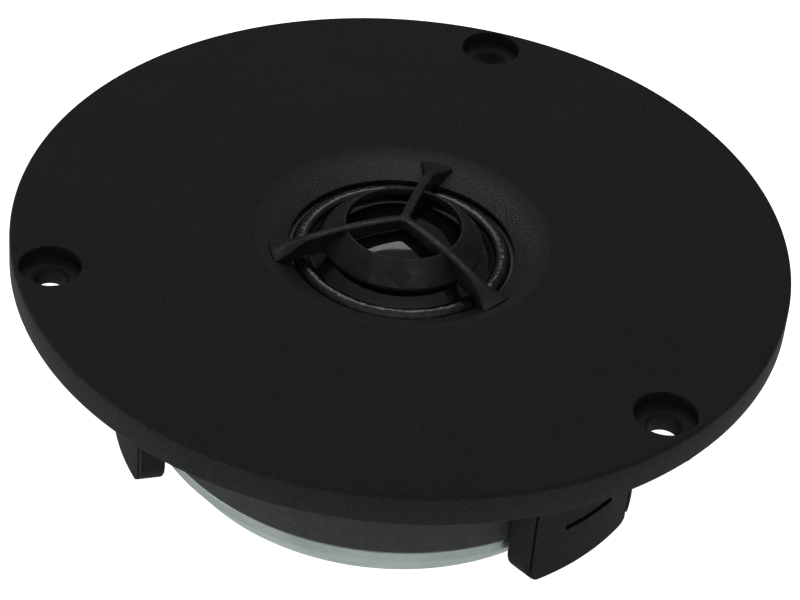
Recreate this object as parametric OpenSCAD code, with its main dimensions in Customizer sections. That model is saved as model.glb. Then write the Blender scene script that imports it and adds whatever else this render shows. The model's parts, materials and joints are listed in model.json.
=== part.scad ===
// Dome tweeter with a round flush-mount face plate, for a car door or pillar.
// The axis is Z, the sound leaves along +Z, and Z = 0 is the back plate's rear face.

/* [Face plate] */
// Diameter of the round flange
flange_d = 104; // [102:0.5:110]
// Thickness of the flange at its rim
flange_t = 4.6; // [4.2:0.1:5.2]
// Radius that softens the rim's front edge
rim_round = 0.6; // [0.3:0.1:1]
// Thickness of the moulded skin between the ribs
skin_t = 2.4; // [2.2:0.1:3]
// Diameter of the circle of the three screw holes
screw_pcd = 94.4; // [93:0.1:95]
// Diameter of a mounting screw's through hole
screw_hole_d = 4.2; // [3.6:0.1:4.4]
// Diameter of the recess for a mounting screw's head
screw_head_d = 8.2; // [7:0.1:8.6]
// Depth of the recess for a mounting screw's head
screw_head_depth = 2; // [1:0.1:2.2]

/* [Horn] */
// Diameter at which the horn's slope would meet the flat front
mouth_d = 39.8; // [38:0.1:42]
// Diameter of the throat's lip
throat_d = 30.4; // [30:0.1:31]
// Depth of the throat's lip below the front
throat_depth = 2.6; // [2:0.1:2.8]
// Radius of the soft edge where the horn leaves the flat front
mouth_round = 5; // [2:0.5:8]

/* [Snap legs] */
// Radius of the legs' outer face
leg_r = 38; // [37.5:0.1:38.5]
// Thickness of a leg's wall
leg_t = 3.1; // [2.7:0.1:3.1]
// Width of a leg between its parallel ends
leg_w = 20.6; // [18:0.2:24]
// Radius of a leg's lower corners
leg_corner = 4; // [2:0.1:4.5]
// Width of the sprung finger in a leg
finger_w = 8.2; // [7:0.1:9]
// How far a finger's face lies behind the leg's face
finger_recess = 0.3; // [0.1:0.05:0.5]
// Width of the slot round a finger
finger_gap = 0.4; // [0.3:0.1:0.8]
// Width of the hook in the middle of a leg
hook_w = 10; // [6:0.5:12]

/* [Phase plug] */
// Height of the hub's top above the front
hub_height = 2.6; // [2.4:0.1:3.5]
// Radius of the ring's upper inner edge
ring_in_r = 7.6; // [7:0.1:8]
// Height of the ring's upper inner edge above the front
ring_in_height = 1.6; // [1.5:0.1:2]
// Radius of the ring's lower outer edge
ring_out_r = 10.8; // [10.5:0.1:11.2]
// Depth of the ring's lower outer edge below the front
ring_out_depth = 1.6; // [1.4:0.1:1.6]
// Width of an arm
arm_w = 1.2; // [1:0.1:1.6]
// Gap between the dome and the underside of the arms and the hub
web_gap = 0.6; // [0.5:0.05:0.7]
// Height of the arms' underside at the throat above the horn's lip
web_lift = 0.6; // [0.5:0.1:1]
// Width of an arm's flared foot
foot_w = 5; // [4:0.1:6]
// Radius at which the feet end on the horn
foot_end_r = 18; // [17.5:0.1:18.5]

/* [Diaphragm] */
// Outer radius of the voice coil's former
coil_r = 12.3; // [12.2:0.05:12.4]
// Radius of the dome's sphere
dome_sphere_r = 20; // [19.5:0.1:24]
// Thickness of the dome's film
dome_t = 0.12; // [0.1:0.01:0.2]
// Height of the surround's roll
roll_height = 1.2; // [1.1:0.01:1.2]
// Thickness of the surround's film
surround_t = 0.25; // [0.2:0.01:0.3]

/* [Magnet] */
// Diameter of the ferrite ring
magnet_d = 68.8; // [68:0.1:69]
// Thickness of the ferrite ring
magnet_t = 15; // [15:0.1:15.5]
// Diameter of the back plate at its widest
back_plate_d = 68; // [67:0.1:68.2]
// Diameter of the back plate's rear face, at the end of its taper
back_face_d = 62.2; // [61:0.1:63]
// Thickness of the back plate
back_plate_t = 6; // [6:0.1:6.2]
// Thickness of the top plate
top_plate_t = 4; // [4:0.1:4.2]

/* [Hidden] */
$fn = 96;

// Clearance of a running or push fit, and how far a cutter runs past a face
fit_gap = 0.02;
past = 1;
// How deep an added rib, boss or hook roots in its neighbour, and the size of a plain broken edge
root = 0.5;
edge = 0.3;

// Heights of the motor's stack, from the rear face up
glue_t = 0.1;
magnet_z = back_plate_t + glue_t;
top_plate_z = magnet_z + magnet_t + glue_t;
gap_top_z = top_plate_z + top_plate_t;
roll_z = gap_top_z + 3.45;
shoulder_z = roll_z + surround_t;
gasket_t = 0.5;
seat_z = shoulder_z + gasket_t;
seat_depth = 2.9;
front_z = seat_z + seat_depth;

// Three screws, legs and arms share these directions
spoke_angles = [90, 210, 330];
terminal_angle = 150;
rib_angles = [for (i = [0 : 11]) 15 + 30 * i];

// Face plate
flange_r = flange_d / 2;
rear_z = front_z - flange_t;
skin_z = front_z - skin_t;
skirt_t = 2;
throat_r = throat_d / 2;
throat_z = front_z - throat_depth;
horn_slope = atan2(throat_depth, mouth_d / 2 - throat_r);
wall_in_r = leg_r - leg_t;
wall_z = gap_top_z;
throat_ring_r = 26;
lip_round = 0.15;
boss_d = 9.4;
rib_t = 1.2;
wire_notch_w = 12;
wire_notch_top = 0.8;

// Legs and hooks
leg_z = 0.4;
leg_top_z = wall_z + past;
leg_round_out = 0.8;
leg_round_in = 1.6;
hook_z = 3;
hook_gap = 0.1;
hook_rise = 1;
window_z = 8;
window_top_z = 22.6;
finger_t = 2;
groove_w = 0.45;
groove_depth = 0.4;
groove_inset = 0.9;

// Phase plug
peg_r = 0.75;
peg_x = 16.9;
peg_z = seat_z + edge;
peg_end_gap = 0.1;
peg_root = 0.2;
foot_start = 13;
foot_edge = 0.25;
hub_r = 0.9;
ring_wall_h = 0.9;
ring_top_z = front_z + ring_in_height;
ring_low_z = front_z - ring_out_depth;

// Motor
magnet_hole_r = 16;
pole_r = 11.7;
spigot_r = 5;
gap_r = 12.95;
top_plate_r = 33.5;
taper_top_z = 4.4;
felt_r = 7.8;
felt_recess = 2;
felt_t = 3.5;
glue_inset = 0.5;
pin_r = 1;
pin_circle_r = 24;
pin_depth = 1.5;

// Diaphragm
former_t = 0.1;
roll_lap = 0.05;
roll_r = coil_r - roll_lap + roll_height;
dome_edge_z = roll_z - dome_t;
dome_centre_z = dome_edge_z - sqrt(pow(dome_sphere_r, 2) - pow(coil_r - former_t, 2)) + dome_t;
former_h = 6.8;
winding_t = 0.35;
winding_h = 2.4;
winding_z = top_plate_z + top_plate_t / 2 - winding_h / 2;
surround_rim_r = 16.8;
carrier_in_r = 14;
carrier_out_r = 33;

// Wires and terminals, drawn in the frame of terminal_angle
lead_r = 0.25;
lead_y = 3;
lead_z = roll_z - 0.4;
lead_start = 13.8;
lug_x = 36.2;
tail_r = 0.12;
block_z = 20.3;
block_half_w = 9;
tab_t = 0.8;
tab_z = 11.8;
tab_top_z = lead_z + 0.3;
positive_w = 4.8;
negative_w = 2.8;
block_screw_r = 36.7;
block_screw_angle = 12;
block_screw_shank_r = 0.78;
block_screw_depth = 4;

// A point on a circle in the section plane
function polar(c, r, a) = [c[0] + r * cos(a), c[1] + r * sin(a)];

// Points along an arc, for the round stretches of an outline
function arc(c, r, a0, a1, n = 8) = [for (i = [0 : n]) polar(c, r, a0 + (a1 - a0) * i / n)];

// Radius of the back plate's taper at height z
function taper_r(z) = (back_plate_d - (back_plate_d - back_face_d) * (taper_top_z - z) / taper_top_z) / 2;

// Height of the horn's sloped surface at radius r
function horn_z(r) = throat_z + (r - throat_r) * tan(horn_slope);

// Height of the arms' upper edge at radius r: highest at the hub, down to the feet
function arm_z(r) =
    let (top = front_z + hub_height, end = horn_z(foot_end_r) + foot_edge)
    top - (top - end) * pow(r / foot_end_r, 2);

// Height of the dome's outer surface at radius r
function dome_z(r) = dome_centre_z + sqrt(pow(dome_sphere_r, 2) - pow(r, 2));

// Half the width of an arm at radius r: its foot flares like a trumpet
function foot_half(r) =
    arm_w / 2 + (foot_w - arm_w) / 2 * pow(max(0, r - foot_start) / (foot_end_r - foot_start), 1.5);

// Plain tube between two heights
module tube(r_in, r_out, z0, z1) {
    rotate_extrude()
        translate([r_in, z0])
            square([r_out - r_in, z1 - z0]);
}

// Solid disc between two heights
module disc(r, z0, z1) {
    translate([0, 0, z0])
        cylinder(r = r, h = z1 - z0);
}

// Straight round rod from point p to point q, with round ends where asked
module rod(p, q, r, ends = false) {
    d = q - p;
    translate(p)
        rotate([0, acos(d[2] / norm(d)), atan2(d[1], d[0])])
            cylinder(r = r, h = norm(d));
    if (ends)
        translate(q)
            sphere(r = r);
}

// Block centred on Y, from x0 to x1 and z0 to z1
module slab(x0, x1, half_w, z0, z1, y = 0) {
    translate([x0, y - half_w, z0])
        cube([x1 - x0, 2 * half_w, z1 - z0]);
}

// ---- Face plate -------------------------------------------------------------

// Section of the flange, skin, horn and throat ring, with the wall that the legs are cut from
module faceplate_section() {
    // both arcs are tangent to the horn's slope
    lip_r = throat_r + lip_round;
    lip_centre = [lip_r, horn_z(lip_r) - lip_round / cos(horn_slope)];
    reach = mouth_round * tan(horn_slope / 2);
    soft_centre = [mouth_d / 2 + reach, front_z - mouth_round];
    polygon(concat(
        [[throat_r, seat_z]],
        arc(lip_centre, lip_round, 180, 90 + horn_slope, 3),
        arc(soft_centre, mouth_round, 90 + horn_slope, 90, 12),
        arc([flange_r - rim_round, front_z - rim_round], rim_round, 90, 0, 6),
        [
            [flange_r, rear_z + edge], [flange_r - edge, rear_z],
            [flange_r - skirt_t, rear_z], [flange_r - skirt_t, skin_z], [leg_r, skin_z],
        ],
        arc([leg_r - leg_round_out, leg_z + leg_round_out], leg_round_out, 0, -90, 5),
        arc([wall_in_r + leg_round_in, leg_z + leg_round_in], leg_round_in, -90, -180, 6),
        [[wall_in_r, skin_z], [throat_ring_r, skin_z], [throat_ring_r, seat_z]]
    ));
}

// Outline of a leg seen from outside, with its two round lower corners
module leg_outline() {
    half = leg_w / 2;
    union() {
        translate([-half, leg_z + leg_corner])
            square([leg_w, leg_top_z - leg_z - leg_corner]);
        translate([-half + leg_corner, leg_z])
            square([leg_w - 2 * leg_corner, leg_corner + past]);
        for (side = [-1, 1])
            translate([side * (half - leg_corner), leg_z + leg_corner])
                circle(r = leg_corner);
    }
}

// The lower wall's stretches between the legs, which are cut away
module between_legs() {
    difference() {
        tube(throat_ring_r, leg_r + past, leg_z - past, wall_z);
        for (a = spoke_angles)
            rotate([90, 0, a + 90])
                linear_extrude(leg_r + 2 * past)
                    leg_outline();
    }
}

// Hook in the middle of a leg, which grips the back plate's taper
module hook() {
    intersection() {
        rotate_extrude()
            polygon([
                [wall_in_r + root, hook_z], [taper_r(hook_z) + hook_gap, hook_z],
                [taper_r(taper_top_z) + hook_gap, taper_top_z],
                [wall_in_r + root, taper_top_z + hook_rise],
            ]);
        slab(0, leg_r, hook_w / 2, 0, front_z);
    }
}

// U-shaped slot that frees the finger, and the shallow recess over the finger's face
module finger_cut() {
    half = finger_w / 2;
    difference() {
        slab(wall_in_r - past, leg_r + past, half + finger_gap, window_z, window_top_z);
        slab(wall_in_r - 2 * past, leg_r + 2 * past, half, window_z + finger_gap, window_top_z + past);
    }
    difference() {
        slab(wall_in_r - past, leg_r + past, half + finger_gap, window_z, window_top_z);
        disc(leg_r - finger_recess, 0, front_z);
    }
    intersection() {
        slab(wall_in_r - 2 * past, leg_r, half + finger_gap, window_z, window_top_z);
        disc(leg_r - finger_recess - finger_t, 0, front_z);
    }
}

// Upright groove in a leg's outer face, just in from each end
module end_grooves() {
    for (side = [-1, 1])
        difference() {
            slab(leg_r / 2, leg_r + past, groove_w / 2, leg_z - past, wall_z - past,
                 side * (leg_w / 2 - groove_inset));
            disc(leg_r - groove_depth, leg_z - 2 * past, wall_z);
        }
}

// Stepped hole for one mounting screw, drawn on the +X side
module screw_hole() {
    lead_in = 0.4;
    translate([screw_pcd / 2, 0, 0]) {
        disc(screw_hole_d / 2, rear_z - past, front_z + past);
        disc(screw_head_d / 2, front_z - screw_head_depth, front_z + past);
        translate([0, 0, front_z - screw_head_depth - lead_in])
            cylinder(r1 = screw_hole_d / 2, r2 = screw_hole_d / 2 + lead_in, h = lead_in);
    }
}

// Ribs behind the skin and bosses round the screw holes
module rear_stiffening() {
    rib_step = 0.2;
    for (a = rib_angles)
        rotate(a)
            slab(leg_r - root, flange_r - skirt_t + root, rib_t / 2, rear_z + rib_step, skin_z + root);
    for (a = spoke_angles)
        rotate(a)
            translate([screw_pcd / 2, 0, 0])
                disc(boss_d / 2, rear_z, skin_z + root);
}

// Notch in the wall for the leads, and the pilot holes of the terminal block's screws
module terminal_cuts() {
    slab(wall_in_r - past, leg_r + past, wire_notch_w / 2, wall_z - past, roll_z + wire_notch_top);
    for (side = [-1, 1])
        rotate(side * block_screw_angle)
            translate([block_screw_r, 0, 0])
                disc(block_screw_shank_r + fit_gap, wall_z - past, wall_z + block_screw_depth + root);
}

module faceplate() {
    color([0.13, 0.15, 0.145])
        difference() {
            union() {
                difference() {
                    union() {
                        rotate_extrude()
                            faceplate_section();
                        rear_stiffening();
                    }
                    between_legs();
                }
                for (a = spoke_angles)
                    rotate(a)
                        hook();
            }
            for (a = spoke_angles)
                rotate(a) {
                    finger_cut();
                    end_grooves();
                    screw_hole();
                    translate([peg_x, 0, 0])
                        disc(peg_r + fit_gap, peg_z - peg_end_gap, front_z);
                }
            rotate(terminal_angle)
                terminal_cuts();
        }
}

// ---- Phase plug -------------------------------------------------------------

// Section of one arm along its length: a deep web that follows the dome, then the ring to the throat
module arm_profile() {
    steps = 16;
    touch_r = throat_r + 2 * lip_round;
    follow_r = 9;
    web_steps = 4;
    polygon(concat(
        [for (i = [0 : steps]) [foot_end_r * i / steps, arm_z(foot_end_r * i / steps)]],
        [
            [foot_end_r, horn_z(foot_end_r) + fit_gap], [touch_r, horn_z(touch_r) + fit_gap],
            [throat_r - 2 * lip_round, throat_z + web_lift], [ring_out_r, ring_low_z],
        ],
        [for (i = [web_steps : -1 : 0]) let (r = follow_r * i / web_steps) [r, dome_z(r) + web_gap]]
    ));
}

// Plan of a foot: it flares from the arm's width and ends on a circle
module foot_plan() {
    steps = 10;
    edge_end = foot_end_r - edge;
    radii = [for (i = [0 : steps]) foot_start + (edge_end - foot_start) * i / steps];
    end_a = asin((foot_w / 2 - edge) / foot_end_r);
    polygon(concat(
        [for (r = radii) [r, -foot_half(r)]],
        arc([0, 0], foot_end_r, -end_a, end_a, 6),
        [for (i = [steps : -1 : 0]) [radii[i], foot_half(radii[i])]]
    ));
}

// Thin sloped skin over the horn, from which the feet are cut
module foot_skin() {
    over_r = foot_end_r + past;
    touch_r = throat_r + 2 * lip_round;
    skin = 0.35;
    rotate_extrude()
        polygon([
            [foot_start, throat_z + 2 * web_lift], [touch_r, horn_z(touch_r) + fit_gap],
            [over_r, horn_z(over_r) + fit_gap], [over_r, horn_z(over_r) + skin],
            [touch_r, horn_z(touch_r) + 3 * skin], [foot_start, arm_z(foot_start) - skin],
        ]);
}

// Conical ring round the middle of the dome
module plug_ring() {
    rim_w = 0.6;
    rim_drop = 0.05;
    low_edge = 0.25;
    rotate_extrude()
        polygon([
            [ring_in_r, ring_top_z], [ring_in_r + rim_w, ring_top_z - rim_drop],
            [ring_out_r, ring_low_z + low_edge], [ring_out_r, ring_low_z],
            [ring_out_r - rim_w, ring_low_z], [ring_in_r, ring_top_z - ring_wall_h],
        ]);
}

// One arm with its flared foot and its peg, drawn on the +X side
module arm() {
    translate([0, arm_w / 2, 0])
        rotate([90, 0, 0])
            linear_extrude(arm_w)
                arm_profile();
    intersection() {
        foot_skin();
        translate([0, 0, rear_z])
            linear_extrude(2 * flange_t)
                foot_plan();
    }
    translate([peg_x, 0, 0])
        disc(peg_r, peg_z, horn_z(peg_x) + peg_root);
}

module phase_plug() {
    hub_z = front_z + hub_height;
    color([0.04, 0.04, 0.045])
        union() {
            plug_ring();
            disc(hub_r, dome_z(0) + web_gap + fit_gap, hub_z - fit_gap);
            for (a = spoke_angles)
                rotate(a)
                    arm();
        }
}

// ---- Diaphragm and its carrier ------------------------------------------------

// Foam ring that seals the face plate to the carrier and clamps the surround's rim
module foam_gasket() {
    inset_in = 0.4;
    inset_out = 1;
    color([0.2, 0.2, 0.2])
        tube(throat_r + inset_in, throat_ring_r - inset_out, shoulder_z, seat_z);
}

module diaphragm_carrier() {
    channel_depth = 0.95;
    rim_gap = 0.2;
    step_r = surround_rim_r + rim_gap;
    color([0.1, 0.1, 0.1])
        difference() {
            union() {
                rotate_extrude()
                    polygon([
                        [carrier_in_r, gap_top_z], [carrier_out_r - edge, gap_top_z],
                        [carrier_out_r, gap_top_z + edge], [carrier_out_r, shoulder_z - edge],
                        [carrier_out_r - edge, shoulder_z], [step_r, shoulder_z],
                        [step_r, roll_z], [carrier_in_r, roll_z],
                    ]);
                for (a = spoke_angles)
                    rotate(a)
                        translate([pin_circle_r, 0, 0])
                            disc(pin_r, gap_top_z - pin_depth, gap_top_z + root);
            }
            rotate(terminal_angle)
                for (side = [-1, 1])
                    slab(carrier_in_r - past, carrier_out_r + past, lead_r + fit_gap, roll_z - channel_depth,
                        shoulder_z + past, side * lead_y);
        }
}

// Half-roll film: inner foot on the dome's edge, outer rim glued on the carrier
module surround() {
    color([0.2, 0.17, 0.15])
        rotate_extrude()
            union() {
                translate([roll_r, roll_z])
                    intersection() {
                        difference() {
                            circle(r = roll_height);
                            circle(r = roll_height - surround_t);
                        }
                        translate([-2 * roll_height, 0])
                            square(4 * roll_height);
                    }
                translate([roll_r + roll_height - surround_t, roll_z])
                    square([surround_rim_r - roll_r - roll_height + surround_t, surround_t]);
            }
}

// Cap with a narrow flat lip, which the surround's inner foot is glued on
module dome() {
    lip_in = 0.25;
    lip_out = 0.3;
    color([0.05, 0.05, 0.055])
        rotate_extrude()
            union() {
                intersection() {
                    translate([0, dome_centre_z])
                        difference() {
                            circle(r = dome_sphere_r);
                            circle(r = dome_sphere_r - dome_t);
                        }
                    translate([0, dome_edge_z])
                        square([coil_r, dome_sphere_r]);
                }
                translate([coil_r - lip_in, dome_edge_z])
                    square([lip_in + lip_out, dome_t]);
            }
}

module voice_coil_former() {
    color([0.78, 0.78, 0.8])
        tube(coil_r - former_t, coil_r, dome_edge_z - former_h, dome_edge_z);
}

module voice_coil() {
    color([0.72, 0.35, 0.15])
        tube(coil_r, coil_r + winding_t, winding_z, winding_z + winding_h);
}

// ---- Wires and terminals ------------------------------------------------------

// Fine wires from the winding up the former and across to the leads
module coil_tails() {
    rise_r = coil_r + tail_r + fit_gap;
    rise_x = sqrt(pow(rise_r, 2) - pow(lead_y, 2));
    turn_z = dome_edge_z - 1.3;
    color([0.75, 0.4, 0.2])
        rotate(terminal_angle)
            for (side = [-1, 1]) {
                y = side * lead_y;
                rod([rise_x, y, winding_z + winding_h], [rise_x, y, turn_z], tail_r, ends = true);
                rod([rise_x, y, turn_z], [lead_start, y, lead_z], tail_r);
            }
}

// Straight lead in the carrier's channel, from the tail to the lug
module lead(side) {
    y = side * lead_y;
    color([0.75, 0.4, 0.2])
        rotate(terminal_angle)
            rod([lead_start, y, lead_z], [lug_x, y, lead_z], lead_r);
}

module positive_lead() {
    lead(1);
}

module negative_lead() {
    lead(-1);
}

// Rounded bead of solder round each lead's end, on the lug's inner face
module solder_joints() {
    bead_r = 0.7;
    bead_drop = 0.2;
    cut = 2;
    color([0.75, 0.76, 0.78])
        rotate(terminal_angle)
            for (side = [-1, 1])
                difference() {
                    translate([lug_x, side * lead_y, lead_z - bead_drop])
                        sphere(r = bead_r);
                    slab(lug_x, lug_x + cut, cut, lead_z - cut, lead_z + cut, side * lead_y);
                    rod([lug_x - cut, side * lead_y, lead_z], [lug_x + past, side * lead_y, lead_z], lead_r);
                }
}

// Flat push-on blade with chamfered end and locking hole, drawn on the +X side
module blade(w, y) {
    chamfer = 0.7;
    taper_z = tab_z + 1.2;
    corner = 0.5;
    half = w / 2;
    hole_z = tab_z + 3;
    hole_r = 0.35 + w / 10;
    translate([lug_x, y, 0])
        rotate([90, 0, 90])
            linear_extrude(tab_t)
                difference() {
                    polygon([
                        [-half + chamfer, tab_z], [half - chamfer, tab_z], [half, taper_z],
                        [half, tab_top_z - corner], [half - corner, tab_top_z],
                        [-half + corner, tab_top_z], [-half, tab_top_z - corner], [-half, taper_z],
                    ]);
                    translate([0, hole_z])
                        circle(r = hole_r);
                }
}

module positive_terminal() {
    color([0.8, 0.8, 0.78])
        rotate(terminal_angle)
            blade(positive_w, lead_y);
}

module negative_terminal() {
    color([0.8, 0.8, 0.78])
        rotate(terminal_angle)
            blade(negative_w, -lead_y);
}

// Block beside the magnet, between two legs, that the blades pass through
module terminal_block() {
    screw_gap = 0.15;
    color([0.12, 0.12, 0.12])
        rotate(terminal_angle)
            difference() {
                intersection() {
                    tube(wall_in_r, leg_r, block_z, wall_z);
                    slab(throat_ring_r, leg_r + past, block_half_w, 0, front_z);
                }
                for (slot = [[positive_w, lead_y], [negative_w, -lead_y]])
                    slab(lug_x - fit_gap, lug_x + tab_t + fit_gap,
                        slot[0] / 2 + fit_gap, 0, front_z, slot[1]);
                for (side = [-1, 1])
                    rotate(side * block_screw_angle)
                        translate([block_screw_r, 0, 0])
                            disc(block_screw_shank_r + screw_gap, 0, front_z);
            }
}

// Two small pan-head screws with a cross slot, driven up into the face plate's wall
module terminal_screws() {
    head_r = 1.25;
    head_h = 1.1;
    slot_w = 0.4;
    slot_depth = 0.55;
    slot_reach = 0.7 * head_r;
    color([0.6, 0.6, 0.62])
        rotate(terminal_angle)
            for (side = [-1, 1])
                rotate(side * block_screw_angle)
                    translate([block_screw_r, 0, 0])
                        difference() {
                            union() {
                                disc(block_screw_shank_r, block_z - root, wall_z + block_screw_depth);
                                disc(head_r, block_z - head_h, block_z);
                            }
                            for (turn = [0, 90])
                                rotate(turn)
                                    slab(-slot_reach, slot_reach, slot_w / 2,
                                        block_z - head_h - past, block_z - head_h + slot_depth);
                        }
}

// ---- Magnet system ------------------------------------------------------------

module top_plate() {
    color([0.62, 0.65, 0.7])
        difference() {
            tube(gap_r, top_plate_r, top_plate_z, gap_top_z);
            for (a = spoke_angles)
                rotate(a)
                    translate([pin_circle_r, 0, 0])
                        disc(pin_r + fit_gap, gap_top_z - pin_depth - root, gap_top_z + past);
        }
}

module front_adhesive() {
    color([0.55, 0.5, 0.35])
        tube(magnet_hole_r + glue_inset, top_plate_r - glue_inset, top_plate_z - glue_t, top_plate_z);
}

module magnet() {
    chamfer = 0.5;
    magnet_r = magnet_d / 2;
    top = magnet_z + magnet_t;
    color([0.24, 0.24, 0.26])
        rotate_extrude()
            polygon([
                [magnet_hole_r, magnet_z], [magnet_r - chamfer, magnet_z], [magnet_r, magnet_z + chamfer],
                [magnet_r, top - chamfer], [magnet_r - chamfer, top], [magnet_hole_r, top],
            ]);
}

module rear_adhesive() {
    color([0.55, 0.5, 0.35])
        tube(magnet_hole_r + glue_inset, back_plate_d / 2 - glue_inset, back_plate_t, magnet_z);
}

// Plated steel disc whose rear edge tapers, so that the hooks can pull it forward
module back_plate() {
    plate_r = back_plate_d / 2;
    face_r = back_face_d / 2;
    color([0.66, 0.7, 0.78])
        rotate_extrude()
            polygon([
                [spigot_r + fit_gap, 0], [face_r - edge, 0], [face_r, edge],
                [plate_r, taper_top_z], [plate_r, back_plate_t - edge], [plate_r - edge, back_plate_t],
                [spigot_r + fit_gap, back_plate_t],
            ]);
}

// Centre pole: spigot staked in the back plate, and a recess on top for the felt
module pole_piece() {
    recess_r = felt_r + 0.1;
    recess_z = gap_top_z - felt_recess;
    color([0.6, 0.62, 0.66])
        rotate_extrude()
            polygon([
                [0, 0], [spigot_r, 0], [spigot_r, back_plate_t], [pole_r - edge, back_plate_t],
                [pole_r, back_plate_t + edge], [pole_r, gap_top_z],
                [recess_r, gap_top_z], [recess_r, recess_z], [0, recess_z],
            ]);
}

// Thin copper cup over the pole's tip
module copper_cap() {
    wall = 0.2;
    hole_r = felt_r + 0.4;
    skirt_z = top_plate_z - 1.4;
    inner = pole_r + fit_gap;
    color([0.8, 0.45, 0.25])
        rotate_extrude()
            polygon([
                [hole_r, gap_top_z + fit_gap], [inner, gap_top_z + fit_gap],
                [inner, skirt_z], [pole_r + wall, skirt_z],
                [pole_r + wall, gap_top_z + wall], [hole_r, gap_top_z + wall],
            ]);
}

module pole_felt() {
    color([0.75, 0.74, 0.7])
        disc(felt_r, gap_top_z - felt_recess, gap_top_z - felt_recess + felt_t);
}

faceplate();
phase_plug();
foam_gasket();
diaphragm_carrier();
surround();
dome();
voice_coil_former();
voice_coil();
coil_tails();
positive_lead();
negative_lead();
solder_joints();
terminal_block();
positive_terminal();
negative_terminal();
terminal_screws();
top_plate();
front_adhesive();
magnet();
rear_adhesive();
back_plate();
pole_piece();
copper_cap();
pole_felt();
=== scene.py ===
import json
import math

import bmesh
import bpy
import numpy as np
from mathutils import Matrix, Vector, noise


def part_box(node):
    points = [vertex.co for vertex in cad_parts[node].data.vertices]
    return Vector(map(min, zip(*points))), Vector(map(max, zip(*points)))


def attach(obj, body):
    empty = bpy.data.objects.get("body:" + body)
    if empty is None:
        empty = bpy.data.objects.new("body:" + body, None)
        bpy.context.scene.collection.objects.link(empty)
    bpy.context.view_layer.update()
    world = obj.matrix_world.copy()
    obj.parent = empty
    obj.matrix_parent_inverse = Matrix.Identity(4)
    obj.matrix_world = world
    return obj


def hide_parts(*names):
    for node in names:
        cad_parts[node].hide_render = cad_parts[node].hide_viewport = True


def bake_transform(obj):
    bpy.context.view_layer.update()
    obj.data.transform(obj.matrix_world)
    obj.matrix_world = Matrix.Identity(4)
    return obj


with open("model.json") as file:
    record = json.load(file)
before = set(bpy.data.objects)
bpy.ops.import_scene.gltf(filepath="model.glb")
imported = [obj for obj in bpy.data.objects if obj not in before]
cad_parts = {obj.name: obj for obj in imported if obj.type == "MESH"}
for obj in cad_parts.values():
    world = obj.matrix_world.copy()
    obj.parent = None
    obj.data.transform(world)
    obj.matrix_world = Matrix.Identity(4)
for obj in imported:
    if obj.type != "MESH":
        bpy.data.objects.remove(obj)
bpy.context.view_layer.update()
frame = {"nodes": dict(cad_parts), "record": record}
nodes = frame["nodes"]
scene = bpy.context.scene
scene.view_settings.view_transform = "Standard"

MM = 0.001
SEGMENTS = 360

# ---- Sizes, in mm -------------------------------------------------------------
# Four heights come from the boxes of CAD nodes. The rest repeat part.scad's values, with radii
# where it gives diameters.


LOW, HIGH = 0, 1


def end_z(node, end):
    """Height of a CAD node's LOW or HIGH end."""
    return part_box(node)[end].z / MM


# How far a cutter runs past the face it cuts
PAST = 1
# How far an added piece sinks into what it grows from
ROOT = 0.5
FLANGE_R = 52
FRONT_Z = 32.3
FLANGE_T = 4.6
REAR_Z = FRONT_Z - FLANGE_T
SKIN_T = 2.4
SKIN_Z = FRONT_Z - SKIN_T
SEAT_DEPTH = 2.9
SEAT_Z = FRONT_Z - SEAT_DEPTH
WALL_Z = end_z("top_plate", HIGH)
RIM_ROUND = 0.6
SKIRT_T = 2
MOUTH_R = 19.9
THROAT_R = 15.2
HORN_DEPTH = 2.6
THROAT_Z = FRONT_Z - HORN_DEPTH
MOUTH_ROUND = 5
HORN_SLOPE = math.atan2(FRONT_Z - THROAT_Z, MOUTH_R - THROAT_R)
LIP_ROUND = 0.15
THROAT_RING_R = 26
SPOKES = [math.radians(a) for a in (90, 210, 330)]
TERMINAL = math.radians(150)
LEG_R = 38
WALL_IN_R = 34.9
LEG_W = 20.6
LEG_Z = 0.4
LEG_CORNER = 4
LEG_ROUND_OUT = 0.8
LEG_ROUND_IN = 1.6
HOOK_Z = 3
HOOK_W = 10
HOOK_GAP = 0.1
HOOK_RISE = 1
WINDOW_Z = 8
WINDOW_TOP_Z = 22.6
FINGER_W = 8.2
FINGER_GAP = 0.4
FINGER_RECESS = 0.3
FINGER_T = 2
GROOVE_W = 0.45
GROOVE_DEPTH = 0.4
GROOVE_INSET = 0.9
SCREW_R = 47.2
BACK_PLATE_R = 34
BACK_FACE_R = 31.1
TAPER_TOP_Z = 4.4
BACK_PLATE_T = 6
MAGNET_R = 34.4
MAGNET_HOLE_R = 16
MAGNET_Z = end_z("magnet", LOW)
MAGNET_TOP_Z = end_z("magnet", HIGH)
ROLL_Z = end_z("surround", LOW)
ROLL_R = 13.45
ROLL_HEIGHT = 1.2
ROLL_END_R = ROLL_R + ROLL_HEIGHT
FILM_T = 0.25
RIM_R = 16.8
DOME_R = 20
DOME_T = 0.12
DOME_EDGE_R = 12.2
DOME_EDGE_Z = ROLL_Z - DOME_T
DOME_CENTRE_Z = DOME_EDGE_Z + DOME_T - math.sqrt(DOME_R ** 2 - DOME_EDGE_R ** 2)
HUB_HEIGHT = 2.6
HUB_TOP_Z = FRONT_Z + HUB_HEIGHT
WEB_GAP = 0.6
WEB_LIFT = 0.6
FOOT_END_R = 18
FOOT_START = 13
FOOT_EDGE = 0.25
ARM_W = 1.2
FOOT_W = 5
RING_IN_R = 7.6
RING_OUT_R = 10.8
RING_RISE = 1.6
RING_IN_Z = FRONT_Z + RING_RISE
RING_OUT_Z = FRONT_Z - RING_RISE

# ---- Mesh helpers ---------------------------------------------------------------


def unit(value):
    """The value held between 0 and 1."""
    return max(0, min(1, value))


def add_object(name, data):
    """A new object with this data, in the scene."""
    piece = bpy.data.objects.new(name, data)
    scene.collection.objects.link(piece)
    return piece


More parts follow.
